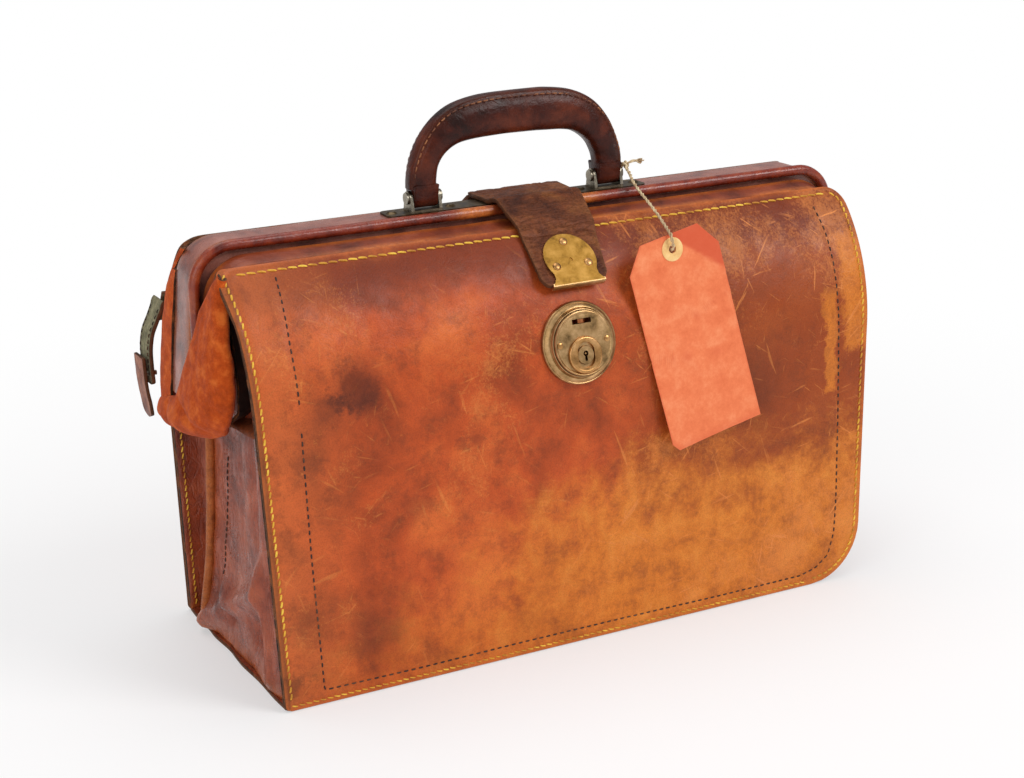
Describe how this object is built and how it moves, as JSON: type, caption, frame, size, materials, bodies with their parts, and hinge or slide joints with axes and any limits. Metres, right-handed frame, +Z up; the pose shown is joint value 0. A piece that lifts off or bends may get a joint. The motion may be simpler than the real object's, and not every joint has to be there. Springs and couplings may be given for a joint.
{
  "type": "briefcase",
  "caption": "Old top-framed leather briefcase with an opening front jaw, brass lock, closing strap with hasp, folding handle and a string luggage tag.",
  "frame": {"origin": "on the floor plane, midway along the case and under the middle of its top frame", "axes": "+X to the right along the case as seen from the front, +Y to the back (the lock faces -Y), +Z up"},
  "size_m": [0.474, 0.1781, 0.337],
  "materials": {
    "panel_leather": "worn, waxed cowhide with scratches",
    "gusset_leather": "soft, creased leather",
    "suede": "rough flesh side",
    "jaw_leather": "polished, dark",
    "handle_leather": "polished, dark",
    "strap_leather": "pebbled, cracked",
    "pull_leather": "rough flesh side, grey",
    "tab_leather": "smooth",
    "divider_leather": "smooth",
    "lining_cloth": "plain weave",
    "base_board": "pressed board",
    "frame_steel": "old, dull",
    "pin_nickel": "worn nickel plate",
    "lock_brass": "tarnished",
    "hasp_brass": "worn bright",
    "bolt_copper": "copper-coloured",
    "tag_card": "matt manila card",
    "tag_ring": "matt reinforcing ring",
    "twine": "twisted twine"
  },
  "bodies": {
    "case": {"back_panel": "panel_leather", "bottom_panel": "panel_leather", "bottom_board": "base_board", "gusset_left": "gusset_leather", "gusset_right": "gusset_leather", "gusset_welt_left": "suede", "gusset_welt_right": "suede", "ear_left": "suede", "ear_right": "suede", "center_divider": "divider_leather", "lining_front": "lining_cloth", "lining_back": "lining_cloth", "rear_jaw_frame": "frame_steel", "rear_jaw_cover": "jaw_leather", "hinge_pins": "pin_nickel", "front_panel": "panel_leather", "handle_plate": "pin_nickel", "handle_rivets": "pin_nickel", "handle_brackets": "pin_nickel", "handle_pins": "pin_nickel", "strap_anchor": "strap_leather", "pull_anchor": "pull_leather"},
    "front_jaw": {"front_panel_upper": "panel_leather", "front_jaw_frame": "frame_steel", "front_jaw_cover": "jaw_leather", "lock_ring": "lock_brass", "lock_face": "lock_brass", "lock_face_rivets": "lock_brass", "lock_collar": "hasp_brass", "lock_studs": "pin_nickel", "lock_case": "frame_steel"},
    "handle": {"handle_core": "frame_steel", "handle_grip": "handle_leather"},
    "strap": {"strap": "strap_leather", "hasp_plate": "hasp_brass", "hasp_rivets": "pin_nickel", "hasp_staple": "frame_steel"},
    "lock_plug": {"lock_plug": "frame_steel"},
    "lock_bolt": {"lock_bolt": "bolt_copper"},
    "pull": {"pull_strap": "pull_leather", "pull_tab": "tab_leather", "pull_rivets": "pin_nickel"},
    "string": {"tag_string": "twine"},
    "tag": {"tag_card": "tag_card", "tag_eyelet": "tag_ring"}
  },
  "joints": [
    {"name": "jaw_open", "type": "hinge", "parent": "case", "child": "front_jaw", "pos_m": [0, 0, 0.183], "axis": [1, 0, 0], "range_deg": [0, 40], "deforming": ["front_panel", "lining_front", "gusset_left", "gusset_right", "ear_left", "ear_right"]},
    {"name": "strap_lift", "type": "hinge", "parent": "case", "child": "strap", "pos_m": [0, 0.0162, 0.2731], "axis": [-1, 0, 0], "range_deg": [0, 50]},
    {"name": "handle_fold", "type": "hinge", "parent": "case", "child": "handle", "pos_m": [-0.0035, 0, 0.2772], "axis": [-1, 0, 0], "range_deg": [-60, 75]},
    {"name": "key_turn", "type": "hinge", "parent": "front_jaw", "child": "lock_plug", "pos_m": [-0.004, -0.08, 0.18695], "axis": [0, -0.9791, 0.2034], "range_deg": [0, 90]},
    {"name": "bolt_slide", "type": "slide", "parent": "front_jaw", "child": "lock_bolt", "axis": [1, 0, 0], "range_m": [0, 0.004]},
    {"name": "pull_swing", "type": "hinge", "parent": "case", "child": "pull", "pos_m": [-0.2183, 0.064, 0.217], "axis": [0, 1, 0], "range_deg": [-6, 60]},
    {"name": "tag_swing", "type": "hinge", "parent": "case", "child": "string", "pos_m": [0.0734, -0.009, 0.2792], "axis": [-1, 0, 0], "range_deg": [0, 8]},
    {"name": "tag_sway", "type": "hinge", "parent": "string", "child": "tag", "pos_m": [0.0653, -0.07402, 0.2423], "axis": [0, -0.9925, 0.1219], "range_deg": [-12, 15]}
  ],
  "couplings": [
    {"joint": "strap_lift", "follows": "jaw_open", "ratio": 1.25},
    {"joint": "tag_swing", "follows": "jaw_open", "ratio": 0.2},
    {"joint": "bolt_slide", "follows": "key_turn", "m_per_rad": 0.002546}
  ]
}
